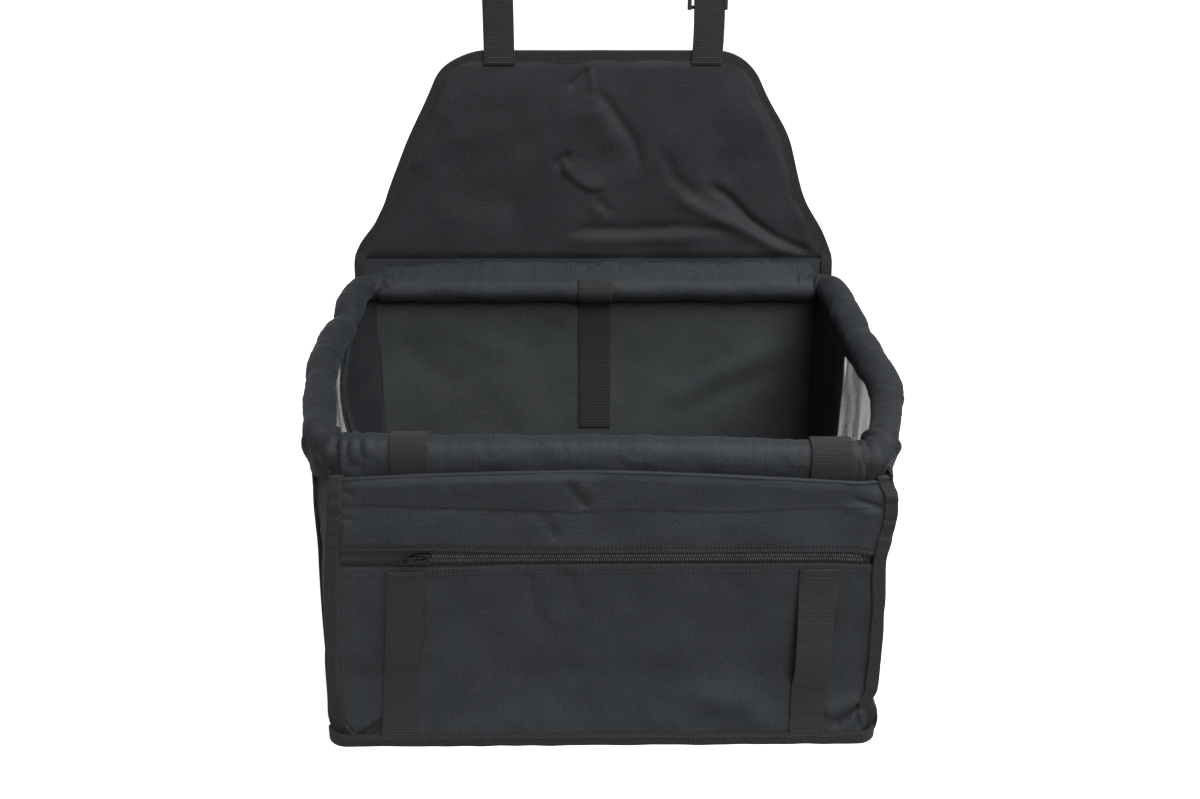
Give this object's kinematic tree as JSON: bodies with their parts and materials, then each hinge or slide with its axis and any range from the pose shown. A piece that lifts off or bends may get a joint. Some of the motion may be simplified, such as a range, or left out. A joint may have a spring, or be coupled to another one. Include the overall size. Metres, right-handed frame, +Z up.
{
  "type": "pet car booster carrier",
  "caption": "Open fabric pet basket for a car seat, with a pipe rim, mesh sides, a zipped front pocket and a back flap with buckled headrest straps.",
  "frame": {"origin": "middle of the underside of the bottom panel", "axes": "+X to the right seen from the front, +Y to the back flap, +Z up"},
  "size_m": [0.4442, 0.3527, 0.5314],
  "materials": {
    "oxford_fabric": "charcoal oxford weave with a soft sheen",
    "edge_tape": "black ribbed edge tape",
    "webbing": "black woven webbing, finely ribbed",
    "mesh_net": "open black air mesh",
    "rim_pipe": "extruded plastic pipe",
    "base_board": "hollow plastic board",
    "zip_coil": "coiled nylon teeth",
    "zip_metal": "gunmetal, satin",
    "buckle_plastic": "moulded acetal, satin"
  },
  "bodies": {
    "base": {"floor_panel": "oxford_fabric", "base_board": "base_board", "floor_pad": "oxford_fabric", "base_binding_front": "edge_tape", "base_binding_back": "edge_tape", "base_binding_left": "edge_tape", "base_binding_right": "edge_tape", "front_lining": "oxford_fabric", "front_upper_panel": "oxford_fabric", "pocket_panel": "oxford_fabric", "left_front_binding": "edge_tape", "right_front_binding": "edge_tape", "left_belt_strap": "webbing", "right_belt_strap": "webbing", "left_side_front_strip": "oxford_fabric", "left_side_back_strip": "oxford_fabric", "left_side_lower_strip": "oxford_fabric", "left_side_mesh": "mesh_net", "right_side_front_strip": "oxford_fabric", "right_side_back_strip": "oxford_fabric", "right_side_lower_strip": "oxford_fabric", "right_side_mesh": "mesh_net", "back_wall": "oxford_fabric", "left_back_binding": "edge_tape", "right_back_binding": "edge_tape", "tether_strap": "webbing"},
    "rim": {"front_rim_sleeve": "oxford_fabric", "back_rim_sleeve": "oxford_fabric", "left_rim_sleeve": "oxford_fabric", "right_rim_sleeve": "oxford_fabric", "front_rim_pipe": "rim_pipe", "back_rim_pipe": "rim_pipe", "left_rim_pipe": "rim_pipe", "right_rim_pipe": "rim_pipe", "front_left_elbow": "rim_pipe", "front_right_elbow": "rim_pipe", "back_left_elbow": "rim_pipe", "back_right_elbow": "rim_pipe", "left_rim_band": "webbing", "right_rim_band": "webbing", "flap_root": "oxford_fabric"},
    "zip": {"zip_tape_upper": "edge_tape", "zip_tape_lower": "edge_tape", "zip_coil_upper": "zip_coil", "zip_coil_lower": "zip_coil", "zip_stop_left": "zip_metal", "zip_stop_right": "zip_metal"},
    "slider": {"zip_slider": "zip_metal"},
    "pull": {"zip_pull": "zip_metal"},
    "flap": {"flap_panel": "oxford_fabric", "flap_binding": "edge_tape", "left_strap_anchor": "webbing", "right_strap_anchor": "webbing"},
    "left_strap": {"left_headrest_strap": "webbing", "buckle_socket": "buckle_plastic"},
    "right_strap": {"right_headrest_strap": "webbing", "buckle_plug": "buckle_plastic"},
    "adjuster": {"strap_adjuster": "buckle_plastic"}
  },
  "joints": [
    {"name": "rim_drop", "type": "slide", "parent": "base", "child": "rim", "axis": [0, 0, 1], "range_m": [-0.19, 0], "deforming": ["front_lining", "front_upper_panel", "pocket_panel", "left_front_binding", "right_front_binding", "left_belt_strap", "right_belt_strap", "left_side_front_strip", "left_side_back_strip", "left_side_lower_strip", "left_side_mesh", "right_side_front_strip", "right_side_back_strip", "right_side_lower_strip", "right_side_mesh", "back_wall", "left_back_binding", "right_back_binding", "tether_strap"]},
    {"name": "zip_drop", "type": "slide", "parent": "base", "child": "zip", "axis": [0, 0, 1], "range_m": [-0.135, 0]},
    {"name": "zip_slide", "type": "slide", "parent": "zip", "child": "slider", "axis": [1, 0, 0], "range_m": [0, 0.29]},
    {"name": "pull_swing", "type": "hinge", "parent": "slider", "child": "pull", "pos_m": [-0.124, -0.17495, 0.1525], "axis": [0, 0, 1], "range_deg": [0, 150]},
    {"name": "flap_fold", "type": "hinge", "parent": "rim", "child": "flap", "pos_m": [0, 0.1702, 0.2436], "axis": [1, 0, 0], "range_deg": [-15, 90]},
    {"name": "left_strap_fold", "type": "hinge", "parent": "flap", "child": "left_strap", "pos_m": [-0.08, 0.1728, 0.427], "axis": [1, 0, 0], "range_deg": [-170, 0]},
    {"name": "right_strap_fold", "type": "hinge", "parent": "flap", "child": "right_strap", "pos_m": [0.088, 0.1728, 0.427], "axis": [1, 0, 0], "range_deg": [-170, 0]},
    {"name": "adjuster_slide", "type": "slide", "parent": "right_strap", "child": "adjuster", "axis": [0, 0, 1], "range_m": [-0.02, 0.015]}
  ],
  "couplings": [
    {"joint": "zip_drop", "follows": "rim_drop", "ratio": 0.7098}
  ]
}
